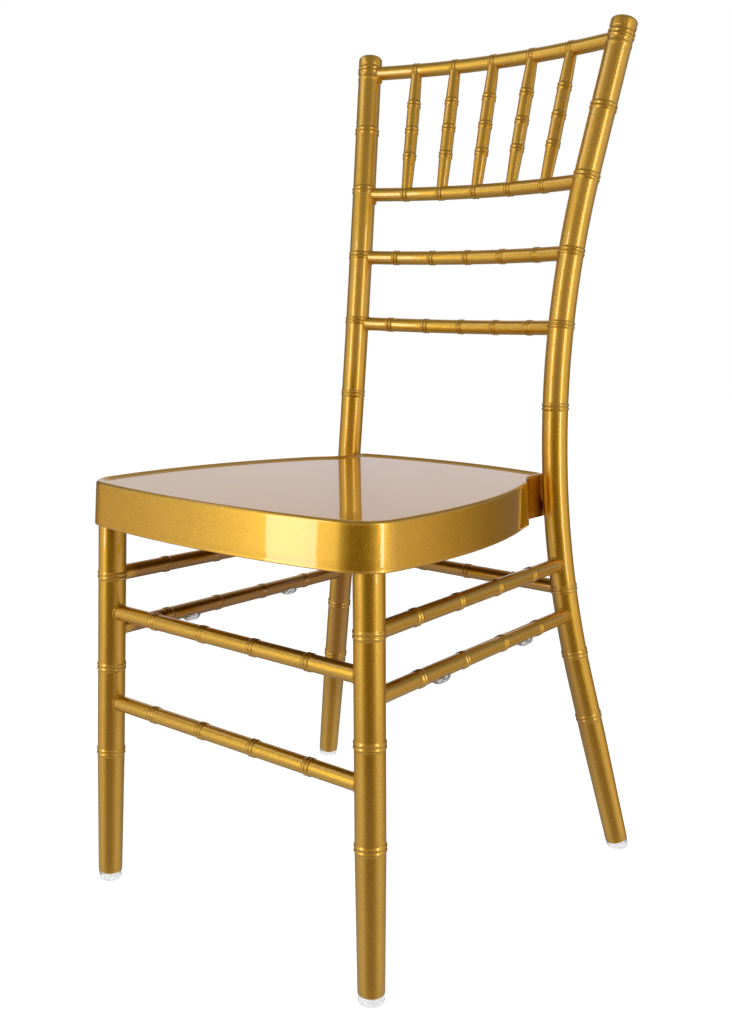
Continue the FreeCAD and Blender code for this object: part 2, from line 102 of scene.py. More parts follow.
def operator(operation, swapped=False):
    def act(self, other):
        return self.graph.maths(operation, *((other, self) if swapped else (self, other)))

    return act


class Wire:
    def __init__(self, graph, socket):
        self.graph, self.socket = graph, socket

    __add__ = __radd__ = operator("ADD")
    __sub__, __rsub__ = operator("SUBTRACT"), operator("SUBTRACT", True)
    __mul__ = __rmul__ = operator("MULTIPLY")
    __truediv__ = operator("DIVIDE")
    __lt__ = operator("LESS_THAN")


class Graph:
    def __init__(self, tree):
        self.tree = tree

    def node(self, kind, sockets=None, settings=None, out=0):
        made = self.tree.nodes.new(kind)
        for setting, choice in (settings or {}).items():
            if setting == "stops":
                self.setStops(made.color_ramp, choice)
            else:
                setattr(made, setting, choice)
        for place, value in (sockets or {}).items():
            self.feed(made.inputs[place], value)
        return Wire(self, made.outputs[out])

    def feed(self, socket, value):
        if isinstance(value, Wire):
            self.tree.links.new(value.socket, socket)
        else:
            socket.default_value = value

    def setStops(self, ramp, stops):
        while len(ramp.elements) < len(stops):
            ramp.elements.new(1.0)
        for element, (place, colour) in zip(ramp.elements, stops):
            element.position = place
            element.color = colour

    def maths(self, operation, *values):
        return self.node("ShaderNodeMath", dict(enumerate(values)), {"operation": operation})

    def vectors(self, operation, *values, out=0):
        return self.node("ShaderNodeVectorMath", dict(enumerate(values)), {"operation": operation}, out)

    def finish(self, kind, wire):
        end = self.tree.nodes.new(kind)
        self.tree.links.new(wire.socket, end.inputs[0])

    def mixColour(self, factor, first, second, blend="MIX"):
        return self.node("ShaderNodeMix", {0: factor, 6: first, 7: second},
                {"data_type": "RGBA", "blend_type": blend}, 2)

    def noise(self, vector, scale, detail):
        return self.node("ShaderNodeTexNoise", {"Vector": vector, "Scale": scale, "Detail": detail},
                out="Fac")

    def ramp(self, value, low, high, top=1.0):
        return self.node("ShaderNodeMapRange", {
            "Value": value, "From Min": low, "From Max": high, "To Max": top},
            {"interpolation_type": "SMOOTHSTEP"})

    def bump(self, height, depth):
        return self.node("ShaderNodeBump", {"Height": height, "Distance": depth})

    def finishMixed(self, kind, mirrored, plain):
        # one shader for what is mirrored or lit, one for what the camera sees straight or through plastic
        paths = [self.node("ShaderNodeLightPath", out=path)
                for path in ("Is Camera Ray", "Is Transmission Ray")]
        self.finish(kind, self.node("ShaderNodeMixShader", {
            0: self.maths("MAXIMUM", *paths), 1: mirrored, 2: plain}))

    def axes(self, vector):
        return [self.node("ShaderNodeSeparateXYZ", {0: vector}, out=axis) for axis in "XYZ"]


# light and floor

backdrop, dimWarm, shadow, underWarm = [
    (0.75, 0.75, 0.83), (0.46, 0.40, 0.34), (0.05, 0.022, 0.004), (0.38, 0.31, 0.25)]
studio = {
    "target": (0.0, 0.0, 0.48),
    "cameraBearing": 37.3,  # degrees from -Y towards +X, where the camera stands
    # what the paint mirrors at eye level, towards the ground and near the feet, by bearing from there
    "room": ((-180, backdrop), (-160, backdrop), (-150, 0.08), (-130, 0.12), (-114, 0.50), (-90, 0.70),
             (-60, 0.76), (-35, dimWarm), (32, dimWarm), (45, 0.70), (88, 0.72), (103, 0.55), (114, 0.42),
             (126, 0.26), (150, 0.16), (158, backdrop), (180, backdrop)),
    "ground": ((-180, 0.24), (-130, (0.20, 0.15, 0.08)), (-110, (0.64, 0.52, 0.30)), (-60, 0.8),
               (-44, (0.39, 0.32, 0.26)), (-26, shadow), (16, shadow), (36, (0.34, 0.27, 0.21)), (55, 0.76),
               (82, (0.95, 0.82, 0.62)), (96, (0.80, 0.64, 0.38)), (110, (0.42, 0.31, 0.16)),
               (126, (0.17, 0.12, 0.06)), (180, 0.24)),
    "underfoot": ((-180, 0.24), (-60, 0.66), (-30, underWarm), (30, underWarm), (70, 0.62), (180, 0.24)),
    # over which heights of view each gives way to the next
    "foot": (-0.55, -0.22),
    "horizon": (-0.04, 0.05),
    "ceilingRise": (0.15, 0.95),
    "ceiling": 0.20,
    "lamps": {  # bearing from the camera, elevation, distance, width, height, brightness
        "leftBox": (-57.2, 7, 1.75, 0.32, 1.35, 4.1),
        "rightBox": (46, 9, 1.75, 0.25, 1.35, 5.2),
        "topBox": (165, 68, 2.2, 1.4, 1.4, 0.25),
        "highBox": (-95, 42, 1.9, 0.9, 0.4, 1.3),
    },
    "floor": {"before": 0.55, "beyond": 9.0, "halfWidth": 4.5, "colour": (0.70, 0.70, 0.69, 1), "glow": 0.84},
}


facing = math.radians(studio["cameraBearing"])
towards = Vector((math.sin(facing), -math.cos(facing), 0.0))


def emptyGraph(owner):
    owner.use_nodes = True
    owner.node_tree.nodes.clear()
    return Graph(owner.node_tree)


def makeWorld(values):
    world = bpy.data.worlds.new("studioWorld")
    graph = emptyGraph(world)
    direction = graph.node("ShaderNodeTexCoord", out="Generated")
    height = graph.axes(direction)[2]
    ahead = graph.vectors("DOT_PRODUCT", direction, towards, out="Value")
    aside = graph.vectors("DOT_PRODUCT", direction, up.cross(towards), out="Value")
    bearing = graph.maths("ARCTAN2", aside, ahead) / (2 * math.pi) + 0.5

    def byBearing(stops):
        return graph.node("ShaderNodeValToRGB", {0: bearing}, {"stops": [
            (degrees / 360 + 0.5, (*(shade if isinstance(shade, tuple) else (shade,) * 3), 1))
            for degrees, shade in stops]})

    colour = byBearing(values["underfoot"])
    for rise, above in (("foot", byBearing(values["ground"])), ("horizon", byBearing(values["room"])),
            ("ceilingRise", (values["ceiling"],) * 3 + (1,))):
        colour = graph.mixColour(graph.ramp(height, *values[rise]), colour, above)
    lit = graph.node("ShaderNodeBackground", {"Color": colour})
    white = graph.node("ShaderNodeBackground", {"Color": (1, 1, 1, 1)})
    graph.finishMixed("ShaderNodeOutputWorld", lit, white)
    scene.world = world


def makeLamp(name, values):
    bearing, elevation, distance, width, height, brightness = values["lamps"][name]
    turn, lift = math.radians(values["cameraBearing"] + bearing), math.radians(elevation)
    way = Vector((math.sin(turn) * math.cos(lift), -math.cos(turn) * math.cos(lift), math.sin(lift)))
    data = bpy.data.lights.new(name, "AREA")
    data.shape = "RECTANGLE"
    data.size = width
    data.size_y = height
    data.energy = brightness * math.pi * width * height
    lamp = addObject(name, data)
    turned = way.to_track_quat("Z", "Y").to_matrix().to_4x4()
    lamp.matrix_world = Matrix.Translation(Vector(values["target"]) + way * distance) @ turned
    lamp.visible_camera = False


def makeFloor(values):
    # a pale sweep that ends out of view in front of the chair
    paper, across = values["floor"], towards.cross(up)
    near, far = paper["before"], -paper["beyond"]
    corners = [towards * ahead + across * aside * paper["halfWidth"]
            for ahead, aside in ((near, 1), (near, -1), (far, -1), (far, 1))]
    mesh = newMesh("studioFloor", corners, faces=[(0, 1, 2, 3)])
    material = bpy.data.materials.new("paleFloor")
    graph = emptyGraph(material)
    paint = graph.node("ShaderNodeBsdfDiffuse", {"Color": paper["colour"]})
    glow = graph.node("ShaderNodeEmission", {"Color": (1, 1, 1, 1), "Strength": paper["glow"]})
    both = graph.node("ShaderNodeAddShader", {0: paint, 1: glow})
    graph.finishMixed("ShaderNodeOutputMaterial", paint, both)
    mesh.materials.append(material)
    floor = addObject("studioFloor", mesh)
    floor.visible_glossy = False


makeWorld(studio)
for lampName in studio["lamps"]:
    makeLamp(lampName, studio)
makeFloor(studio)
scene.view_settings.view_transform = "Standard"
print("studio lit")


# finishes

frontLine = -0.203232  # where the front legs stand

goldPaint = {
    "deep": (0.56, 0.295, 0.010, 1),
    "bright": (0.92, 0.535, 0.045, 1),
    "flakesPerMetre": 1700.0,
    "flakeShare": 0.62,  # of the shade; the rest drifts slowly
    "driftPerMetre": 14.0,
    "flakeTilt": 0.055,
    "roughness": 0.39,
    "roughnessSpread": 0.10,
    "orangePeelPerMetre": 170.0,
    "orangePeelDepth": 0.00002,
    "metal": 1.0,
    "coat": 1.0,
    "coatRoughness": 0.03,
    "coatIndex": 1.62,
    "edgeTint": (1.0, 0.80, 0.42, 1),
    # painted shade: the underside of the seat sheet is painted dark brown, standing in for the shade under
    # the seat
    "undersideShade": (0.10, 0.055, 0.012, 1),
    "undersideShadeMiddle": (0.0, -0.041, 0.4326),
    "undersideShadeReach": (0.128, 0.184, 0.0009),
    # painted shade: the inner sides of the tubes below it are painted darker, standing in for the shade the
    # seat casts on them
    "inner": (0.52, 0.40, 0.34, 1),
    "innerOut": (0.1773, -0.0349),  # how far out the side stretchers run in front, and per metre up
    "innerMore": (0.0421, -0.1734),  # how much further at the back
    "innerDepth": 0.37,
    "innerEdge": 0.003,
    "innerFrom": (-0.189, -0.174),
    "innerFade": (0.120, 0.200, 0.45),  # fades by the last share towards the rear legs
    "innerFloor": (0.02, 0.16),
    "innerTop": (0.385, 0.395),
}
clearPlastic = {
    "colour": (0.80, 0.81, 0.83, 1),
    "index": 1.49,
    "transmission": 0.72,
    "scuffsPerMetre": 260.0,
    "roughness": (0.03, 0.08),  # at least, and more where scuffed
    "scuffDepth": 0.00001,
}


def newMaterial(name, values, fixed):
    material = bpy.data.materials.new(name)
    material.use_nodes = True
    inputs = material.node_tree.nodes["Principled BSDF"].inputs
    for label, value in fixed.items():
        inputs[label].default_value = values[value]
    return material, Graph(material.node_tree), inputs


def innerShadeShare(graph, spot, values):
    # 1 on the sides of the side stretchers and rear legs that face the middle of the chair, where the shade
    # under the seat is painted
    out, back, height = graph.axes(spot)
    depth = (back - frontLine) / values["innerDepth"]
    atFront, more = [start + height * perMetre
            for start, perMetre in (values["innerOut"], values["innerMore"])]
    inwards = atFront + depth * more - graph.maths("ABSOLUTE", out)
    return graph.ramp(inwards, -values["innerEdge"], values["innerEdge"]) * graph.ramp(
        back, *values["innerFrom"]) * (1 - graph.ramp(back, *values["innerFade"])) * graph.ramp(
        height, *values["innerFloor"]) * (1 - graph.ramp(height, *values["innerTop"]))


def makeGoldPaint(name, values):
    material, graph, inputs = newMaterial(name, values, {
        "Metallic": "metal", "Specular Tint": "edgeTint", "Coat Weight": "coat",
        "Coat Roughness": "coatRoughness", "Coat IOR": "coatIndex"})
    spot = graph.node("ShaderNodeTexCoord", out="Object")
    cells = graph.node("ShaderNodeTexVoronoi", {"Vector": spot, "Scale": values["flakesPerMetre"]},
            out="Color")
    grain = graph.node("ShaderNodeSeparateColor", {0: cells}, out="Red")
    drift = graph.noise(spot, values["driftPerMetre"], detail=3.0)
    shade = grain * values["flakeShare"] + drift * (1 - values["flakeShare"])
    # painted shade: a dark patch on the underside of the seat sheet, where the seat's own shade falls
    away = graph.vectors("ABSOLUTE", graph.vectors("SUBTRACT", spot, values["undersideShadeMiddle"]))
    across, along, high = graph.axes(graph.vectors("DIVIDE", away, values["undersideShadeReach"]))
    under = (across < 1.0) * (along < 1.0) * (high < 1.0)
    colour = graph.mixColour(under, graph.mixColour(shade, values["deep"], values["bright"]), values["undersideShade"])
    # painted shade: the inner sides of the tubes under the seat are multiplied darker
    inner = graph.mixColour(innerShadeShare(graph, spot, values), colour, values["inner"], "MULTIPLY")
    graph.feed(inputs["Base Color"], inner)
    graph.feed(inputs["Roughness"], values["roughness"] + (grain - 0.5) * values["roughnessSpread"])
    # each flake lies at its own small tilt under the lacquer
    tilt = graph.vectors("MULTIPLY", graph.vectors("SUBTRACT", cells, (0.5,) * 3), (values["flakeTilt"],) * 3)
    peel = graph.noise(spot, values["orangePeelPerMetre"], detail=2.0)
    bumped = graph.bump(peel, values["orangePeelDepth"])
    graph.feed(inputs["Normal"], graph.vectors("NORMALIZE", graph.vectors("ADD", bumped, tilt)))
    return material


def makeClearPlastic(name, values):
    material, graph, inputs = newMaterial(name, values, {
        "Base Color": "colour", "IOR": "index", "Transmission Weight": "transmission"})
    scuffs = graph.noise(graph.node("ShaderNodeTexCoord", out="Object"), values["scuffsPerMetre"], detail=4.0)
    least, more = values["roughness"]
    graph.feed(inputs["Roughness"], least + scuffs * more)
    graph.feed(inputs["Normal"], graph.bump(scuffs, values["scuffDepth"]))
    return material


gold = makeGoldPaint("goldPaint", goldPaint)
clear = makeClearPlastic("clearPlastic", clearPlastic)
print("finishes made")


# how a finished piece joins the frame

def adopt(piece, *nodes, slot="gold_paint"):
    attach(piece, "root")
    if nodes:
        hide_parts(*nodes)


def root(value):
    return math.sqrt(max(0.0, value))


def finishMesh(name, working, material, sharp):
    # smooth, but for the edges that turn by more than the angle
    bmesh.ops.recalc_face_normals(working, faces=working.faces)
    mesh = bpy.data.meshes.new(name)
    working.to_mesh(mesh)
    working.free()
    mesh.materials.append(material)
    mesh.polygons.foreach_set("use_smooth", [True] * len(mesh.polygons))
    mesh.set_sharp_from_angle(angle=math.radians(sharp))
    return addObject(name, mesh)


def around(first, other, steps):
    # unit vectors all round, in the plane of two of them
    turns = [2 * math.pi * step / steps for step in range(steps)]
    return [first * math.cos(turn) + other * math.sin(turn) for turn in turns]


def joinRings(working, rings):
    # a closed skin over rings of points, one after another
    for low, high in zip(rings, rings[1:]):
        for step in range(len(low)):
            following = (step + 1) % len(low)
            working.faces.new((low[step], low[following], high[following], high[step]))
    working.faces.new(rings[0][::-1])
    working.faces.new(rings[-1])


def sweptTree(name, inputs, radiusFrom):
    # a circle swept along the path, with the radius that radiusFrom works out from the inputs
    tree = bpy.data.node_groups.new(name, "GeometryNodeTree")
    for label, kind, default in (("Geometry", "Geometry", None), *inputs, ("Sides", "Int", 12),
            ("Material", "Material", None)):
        socket = tree.interface.new_socket(label, in_out="INPUT", socket_type="NodeSocket" + kind)
        if default is not None:
            socket.default_value = default
    tree.interface.new_socket("Geometry", in_out="OUTPUT", socket_type="NodeSocketGeometry")
    graph = Graph(tree)
    given = {socket.name: Wire(graph, socket) for socket in tree.nodes.new("NodeGroupInput").outputs}
    curve = graph.node("GeometryNodeMeshToCurve", {"Mesh": given["Geometry"]})
    circle = graph.node("GeometryNodeCurvePrimitiveCircle", {"Resolution": given["Sides"]})
    swept = graph.node("GeometryNodeCurveToMesh", {
        "Curve": curve, "Profile Curve": circle, "Scale": radiusFrom(graph, given), "Fill Caps": True})
    smooth = graph.node("GeometryNodeSetShadeSmooth", {"Geometry": swept})
    plain = graph.node("GeometryNodeRealizeInstances", {"Geometry": smooth})
    graph.finish("NodeGroupOutput", graph.node("GeometryNodeSetMaterial", {
        "Geometry": plain, "Material": given["Material"]}))
    return tree


def sweep(name, path, tree, values):
    # the tree run on a path mesh, as one plain mesh
    sockets = {item.name: item.identifier for item in tree.interface.items_tree}
    source = addObject(name + "Path", path)
    modifier = source.modifiers.new(tree.name, "NODES")
    modifier.node_group = tree
    for label, value in values.items():
        modifier[sockets[label]] = value
    bpy.context.view_layer.update()
    evaluated = source.evaluated_get(bpy.context.evaluated_depsgraph_get())
    mesh = bpy.data.meshes.new_from_object(evaluated)
    mesh.name = name
    if "plainRadius" in mesh.attributes:
        mesh.attributes.remove(mesh.attributes["plainRadius"])
    bpy.data.objects.remove(source)
    return addObject(name, mesh)


# bamboo tube: a swept circle whose radius swells into a double ridge at each ring

mainTube = {
    "radius": 0.014,
    "footRadius": 0.0125,
    "taper": 0.140,  # how far up the foot is thinner
    "bottom": 0.0088,  # where the tube ends in its glide
    "endEdge": 0.0008,
    "sides": 48,
    "ridgePitch": 0.0043,  # one ridge; a ring is two of them
    "ridgeHeight": 0.0009,
}
smallTube = {
    "radius": 0.008,
    "endInside": 0.006,  # how far from the carrier's axis a tube ends, inside the carrier
    "sides": 32,
    "ridgePitch": 0.0041,
    "ridgeHeight": 0.00085,
}
cuts = {
    "plain": 0.014,  # length of one step where nothing changes
    "ridge": 8,  # steps across one ridge
    "beside": 1.12,  # first plain cut beside a ring, in ridges from its middle
    "least": 0.00012,
}


def bambooRadius(graph, given):
    plain = graph.node("GeometryNodeInputNamedAttribute", {"Name": "plainRadius"}, {"data_type": "FLOAT"})
    rings = graph.node("GeometryNodeObjectInfo", {"Object": given["Rings"]}, out="Geometry")
    apart = graph.node("GeometryNodeProximity", {"Target": rings}, {"target_element": "POINTS"}, "Distance")
    phase = apart / given["Ridge Pitch"]
    ridge = graph.maths("ABSOLUTE", graph.maths("SINE", phase * math.pi)) * (phase < 1.0)
    return plain + ridge * given["Ridge Height"]


bamboo = sweptTree("bambooTube", (
    ("Rings", "Object", None), ("Ridge Pitch", "Float", mainTube["ridgePitch"]),
    ("Ridge Height", "Float", mainTube["ridgeHeight"])), bambooRadius)


def cutsAlong(tube, start, end, rings, extras=()):
    reach, steps = tube["ridgePitch"] * cuts["beside"], cuts["ridge"]
    count = max(2, round((end - start) / cuts["plain"]))
    spots = [start + (end - start) * number / count for number in range(count + 1)]
    spots = [spot for spot in spots if all(abs(spot - ring) > reach for ring in rings)]
    spots += [start, end, *extras]
    for ring in rings:
        spots += [ring - reach, ring + reach]
        spots += [ring + tube["ridgePitch"] * step / steps for step in range(-steps, steps + 1)]
    spots.sort()
    kept = spots[:1]
    for spot in spots[1:]:
        if spot - kept[-1] > cuts["least"]:
            kept.append(spot)
    return kept


def bambooTube(name, tube, pointAt, spots, radiusAt, rings):
    path = newMesh(name + "Path", [pointAt(spot) for spot in spots],
            [(n, n + 1) for n in range(len(spots) - 1)])
    plain = path.attributes.new("plainRadius", "FLOAT", "POINT")
    plain.data.foreach_set("value", [radiusAt(spot) for spot in spots])
    ringName = name + "Rings"
    ringHelper = addObject(ringName, newMesh(ringName, [pointAt(ring) for ring in rings] or [(0, 0, -9)]))
    piece = sweep(name, path, bamboo, {
        "Rings": ringHelper, "Ridge Pitch": tube["ridgePitch"], "Ridge Height": tube["ridgeHeight"],
        "Sides": tube["sides"], "Material": gold})
    bpy.data.objects.remove(ringHelper)
    return piece


def footedRadius(along):
    # thinner towards the foot, with an eased end
    start, edge, foot = mainTube["bottom"], mainTube["endEdge"], mainTube["footRadius"]
    grown = min(1.0, max(0.0, (along - start) / (mainTube["taper"] - start)))
    short = max(0.0, edge - (along - start))
    return foot + (mainTube["radius"] - foot) * grown - (edge - root(edge ** 2 - short ** 2))


footCuts = [mainTube["taper"]] + [mainTube["bottom"] + rise for rise in (0.0001, 0.0003, mainTube["endEdge"])]


# front legs

frontLegs = {
    "footOut": 0.17725,
    "splay": 0.0349,
    "top": 0.4305,
    "rings": (0.1461, 0.2397, 0.3372),
}
sideNames = {-1: "Left", 1: "Right"}


def legAt(side, height):
    # the axis at a height, and its way up
    low, high, here = [Vector((side * (frontLegs["footOut"] - frontLegs["splay"] * rise), frontLine, rise))
            for rise in (0.0, 1.0, height)]
    return here, (high - low).normalized()


def makeLeg(side, values):
    lean = math.sqrt(1 + values["splay"] ** 2)
    rings = [height * lean for height in values["rings"]]
    foot, way = legAt(side, 0.0)
    spots = cutsAlong(mainTube, mainTube["bottom"], values["top"] * lean, rings, footCuts)
    piece = bambooTube("frontLeg" + sideNames[side], mainTube, lambda along: foot + way * along, spots,
            footedRadius, rings)
    adopt(piece, "front_leg_" + sideNames[side].lower())


for side in (-1, 1):
    makeLeg(side, frontLegs)
print("front legs made")


# back posts: foot run, one long bend, top run, with a domed finial

backPosts = {
    "foot": (0.2193, 0.4241, 0.0),  # out, back of the front legs, up
    "corner": (0.1183, 0.3364, 0.4849),
    "top": (0.16885, 0.42264, 0.9215),
    "bendRadius": 1.163,
    "rings": (0.1599, 0.2345, 0.3096, 0.5111, 0.5995, 0.6774, 0.7563, 0.8285, 0.9029),
    "domeHeight": 0.0125,
    "domeRadius": 0.0145,
    "shoulder": 0.0052,
    "domeCuts": (-0.0006, -0.0002, 0.0002, 0.0006),
    "domeSteps": 14,
    "crown": 0.30,  # how wide the flat of the dome is, as a share
    "tip": 0.0002,
    "swellBelow": 0.0105,  # a faint swelling under the top ring: how far, how much, how long
    "swell": 0.0004,
    "swellReach": 0.0028,
}


class PostLine:
    def __init__(self, side, values):
        self.foot, corner, top = [Vector((side * out, back + frontLine, rise)) for out, back, rise in (
            values["foot"], values["corner"], values["top"])]
        self.lowWay = (corner - self.foot).normalized()
        self.topWay = (top - corner).normalized()
        self.turn = self.lowWay.angle(self.topWay)
        self.radius = values["bendRadius"]
        reach = self.radius * math.tan(self.turn / 2)
        self.lowRun = (corner - self.foot).length - reach
        self.topRun = (top - corner).length - reach
        self.inward = (self.topWay - self.lowWay * self.topWay.dot(self.lowWay)).normalized()
        self.length = self.lowRun + self.radius * self.turn + self.topRun

    def pointAt(self, along):
        if along <= self.lowRun:
            return self.foot + self.lowWay * along
        angle = min((along - self.lowRun) / self.radius, self.turn)
        rest = max(along - self.lowRun - self.radius * self.turn, 0.0)
        across = self.radius * (1 - math.cos(angle)) + rest * math.sin(angle)
        rise = self.lowRun + self.radius * math.sin(angle) + rest * math.cos(angle)
        return self.foot + self.inward * across + self.lowWay * rise

    def wayAt(self, along):
        angle = min(max((along - self.lowRun) / self.radius, 0.0), self.turn)
        return self.inward * math.sin(angle) + self.lowWay * math.cos(angle)

    def alongAt(self, height):
        low, high = 0.0, self.length
        for halving in range(40):
            middle = (low + high) / 2
            low, high = (middle, high) if self.pointAt(middle).z < height else (low, middle)
        return (low + high) / 2


postLines = {side: PostLine(side, backPosts) for side in (-1, 1)}


def postAt(side, height):
    along = postLines[side].alongAt(height)
    return postLines[side].pointAt(along), postLines[side].wayAt(along)


def makePost(side, values):
    line = postLines[side]
    rings = [line.alongAt(height) for height in values["rings"]]
    end, swelling = line.length, rings[-1] - values["swellBelow"]
    dome, shoulder = end - values["domeHeight"], end - values["shoulder"]
    steps = values["domeSteps"]
    extras = footCuts + [dome + beside for beside in values["domeCuts"]]
    extras += [shoulder + (end - shoulder) * math.sin(step * math.pi / (2 * steps)) for step in range(steps)]
    extras += [swelling + values["swellReach"] * step / 4 for step in range(-5, 6)]

    def radiusAt(along):
        radius = footedRadius(along) + values["swell"] * max(
            0.0, 1 - ((along - swelling) / values["swellReach"]) ** 2)
        if along > dome:
            radius = values["domeRadius"]
        if along > shoulder:
            drop = min(1.0, (along - shoulder) / (end - shoulder))
            radius *= values["crown"] + (1 - values["crown"]) * root(1 - drop ** 2)
        return radius if along < end else values["tip"]

    piece = bambooTube("rearPost" + sideNames[side], mainTube, line.pointAt,
            cutsAlong(mainTube, mainTube["bottom"], end, rings, extras), radiusAt, rings)
    adopt(piece, "rear_post_" + sideNames[side].lower())


for side in (-1, 1):
    makePost(side, backPosts)
print("back posts made")


# rails of the back, bowed between the posts

backRails = {
    "bow": 0.0194,
    "sag": 0.0016,
    "rails": {  # name: node, height, where its rings stand across
        "crestRail": ("crest_rail", 0.9010, (-0.104, -0.052, 0.0, 0.052, 0.104)),
        "spindleRail": ("spindle_rail", 0.7525, (-0.094, -0.047, 0.0, 0.047, 0.094)),
        "upperRail": ("upper_rail", 0.6765, (-0.096, -0.048, 0.0, 0.048, 0.096)),
        "lowerRail": ("lower_rail", 0.5965, (-0.096, -0.048, 0.0, 0.048, 0.096)),
    },
}


class RailArc:
    def __init__(self, height, bow):
        half, self.back = postAt(1, height)[0].xy
        self.height, self.bow = height, bow
        self.radius = (half ** 2 + bow ** 2) / (2 * bow)
        self.halfTurn = math.asin(half / self.radius)
        self.reach = self.radius * self.halfTurn

    def pointAt(self, along):
        turn = along / self.radius
        drop = self.radius * (1 - math.cos(turn))
        fall = backRails["sag"] * (1 - (turn / self.halfTurn) ** 2)
        return Vector((self.radius * math.sin(turn), self.back + self.bow - drop, self.height - fall))

    def alongAt(self, across):
        return self.radius * math.asin(across / self.radius)

    def wayAt(self, along):
        turn = along / self.radius
        return Vector((math.cos(turn), -math.sin(turn), 0.0))


def ringedBar(name, node, pointAt, start, end, rings, radiusAt=lambda along: smallTube["radius"]):
    spots = cutsAlong(smallTube, start, end, rings)
    adopt(bambooTube(name, smallTube, pointAt, spots, radiusAt, rings), node)


railArcs = {}
for railName, (railNode, railHeight, railRings) in backRails["rails"].items():
    arc = railArcs[railName] = RailArc(railHeight, backRails["bow"])
    reach = arc.reach - smallTube["endInside"]
    ringedBar(railName, railNode, arc.pointAt, -reach, reach, [arc.alongAt(across) for across in railRings])
print("rails made")


# straight bars: spindles and stretchers

straightBars = {
    "spindleRadii": (0.0077, 0.0063),  # between the outer rings and at the ends
    "spindleInside": 0.003,
    "crestPitch": 0.052,
    "railPitch": 0.047,
    "spindleRings": (0.28, 0.49, 0.70),  # share of the way down from the crest rail
    "frontHeights": {"Upper": 0.2985, "Lower": 0.2008},
    "frontRings": (0.2, 0.4, 0.6, 0.8),
    "sideHeights": {"Upper": 0.3369, "Lower": 0.2787},
    "sideRings": {"Upper": (0.070, 0.144, 0.219, 0.293), "Lower": (0.075, 0.150, 0.225, 0.300)},
    "rearHeight": 0.3090,
    "rearRings": (-0.0945, -0.0315, 0.0315, 0.0945),
}


def straightBar(name, node, start, end, rings, inside=smallTube["endInside"],
        radii=(smallTube["radius"],) * 2):
    way = (end - start).normalized()
    length = (end - start).length

    def radiusAt(along):
        # full size between the outer rings, and from there to the second radius at both ends
        beyond = max(1 - along / rings[0], 1 - (length - along) / (length - rings[-1]), 0.0)
        return radii[0] + (radii[1] - radii[0]) * beyond

    ringedBar(name, node, lambda along: start + way * along, inside, length - inside, rings, radiusAt)


joints = []  # where a small tube meets a larger one: its end and way, and the carrier's way


def joint(carrier, way):
    spot, carrierWay = carrier
    joints.append((spot, way.normalized(), carrierWay))


for arc in railArcs.values():
    for side in (-1, 1):
        joint(postAt(side, arc.height), arc.wayAt(side * arc.reach) * -side)

crest, second = railArcs["crestRail"], railArcs["spindleRail"]
for number in range(5):
    high = crest.pointAt(crest.alongAt((number - 2) * straightBars["crestPitch"]))
    low = second.pointAt(second.alongAt((number - 2) * straightBars["railPitch"]))
    straightBar(f"spindle{number + 1}", f"spindle_{number + 1}", high, low,
            [share * (low - high).length for share in straightBars["spindleRings"]],
            straightBars["spindleInside"], straightBars["spindleRadii"])


def stretcher(name, node, carriers, ringsOn):
    start, end = [spot for spot, way in carriers]
    straightBar(name, node, start, end, ringsOn((end - start).length))
    joint(carriers[0], end - start)
    joint(carriers[1], start - end)


for level, height in straightBars["frontHeights"].items():
    stretcher("frontStretcher" + level, "front_stretcher_" + level.lower(),
            [legAt(side, height) for side in (-1, 1)],
            lambda length: [share * length for share in straightBars["frontRings"]])
for side in (-1, 1):
    for level, height in straightBars["sideHeights"].items():
        stretcher(f"sideStretcher{level}{sideNames[side]}",
                f"side_stretcher_{level}_{sideNames[side]}".lower(),
                [legAt(side, height), postAt(side, height)],
                lambda length: straightBars["sideRings"][level])
stretcher("rearStretcher", "rear_stretcher",
        [postAt(side, straightBars["rearHeight"]) for side in (-1, 1)],
        lambda length: [length / 2 + out for out in straightBars["rearRings"]])
print("spindles and stretchers made")


# weld beads: a rippled bead along the line where two tubes meet

welds = {
    "beadRadius": 0.0010,
    "stand": 0.0002,  # how far the bead's middle stands off both tubes
    "ripple": 0.28,
    "ripplesPerMetre": 420.0,
    "steps": 60,
    "sides": 12,
    "seed": 7,
    "seedStep": 3.7,
}


def weldRadius(graph, given):
    noise = graph.node("ShaderNodeTexNoise", {
        "W": given["Seed"] * welds["seedStep"], "Scale": given["Ripple Scale"], "Detail": 1.0},
        {"noise_dimensions": "4D"}, "Fac")
    return given["Bead Radius"] * (1 + (noise - 0.5) * 2 * given["Ripple"])


weldBead = sweptTree("weldBead", (
    ("Bead Radius", "Float", welds["beadRadius"]), ("Ripple", "Float", welds["ripple"]),
    ("Ripple Scale", "Float", welds["ripplesPerMetre"]), ("Seed", "Int", welds["seed"])), weldRadius)


def saddle(end, way, carrierWay, stand, steps):
    # points all round the small tube, each run along it until it stands off the carrier
    first = way.cross(carrierWay).normalized()
    other = way.cross(first).normalized()
    loop = []
    for out in around(first, other, steps):
        point = end + out * (smallTube["radius"] + stand)
        offset = point - end
        flatOffset = offset - carrierWay * offset.dot(carrierWay)
        flatWay = way - carrierWay * way.dot(carrierWay)
        square, half = flatWay.dot(flatWay), flatOffset.dot(flatWay)
        rest = flatOffset.dot(flatOffset) - (mainTube["radius"] + stand) ** 2
        loop.append(point + way * ((-half + root(half * half - square * rest)) / square))
    return loop


def weldPiece(name, loops, radius=welds["beadRadius"], closed=True):
    verts, edges = [], []
    for loop in loops:
        base = len(verts)
        verts += loop
        edges += [(base + n, base + n + 1) for n in range(len(loop) - 1)]
        if closed:
            edges.append((base + len(loop) - 1, base))
    return sweep(name, newMesh(name + "Path", verts, edges), weldBead, {
        "Bead Radius": radius, "Sides": welds["sides"], "Material": gold})


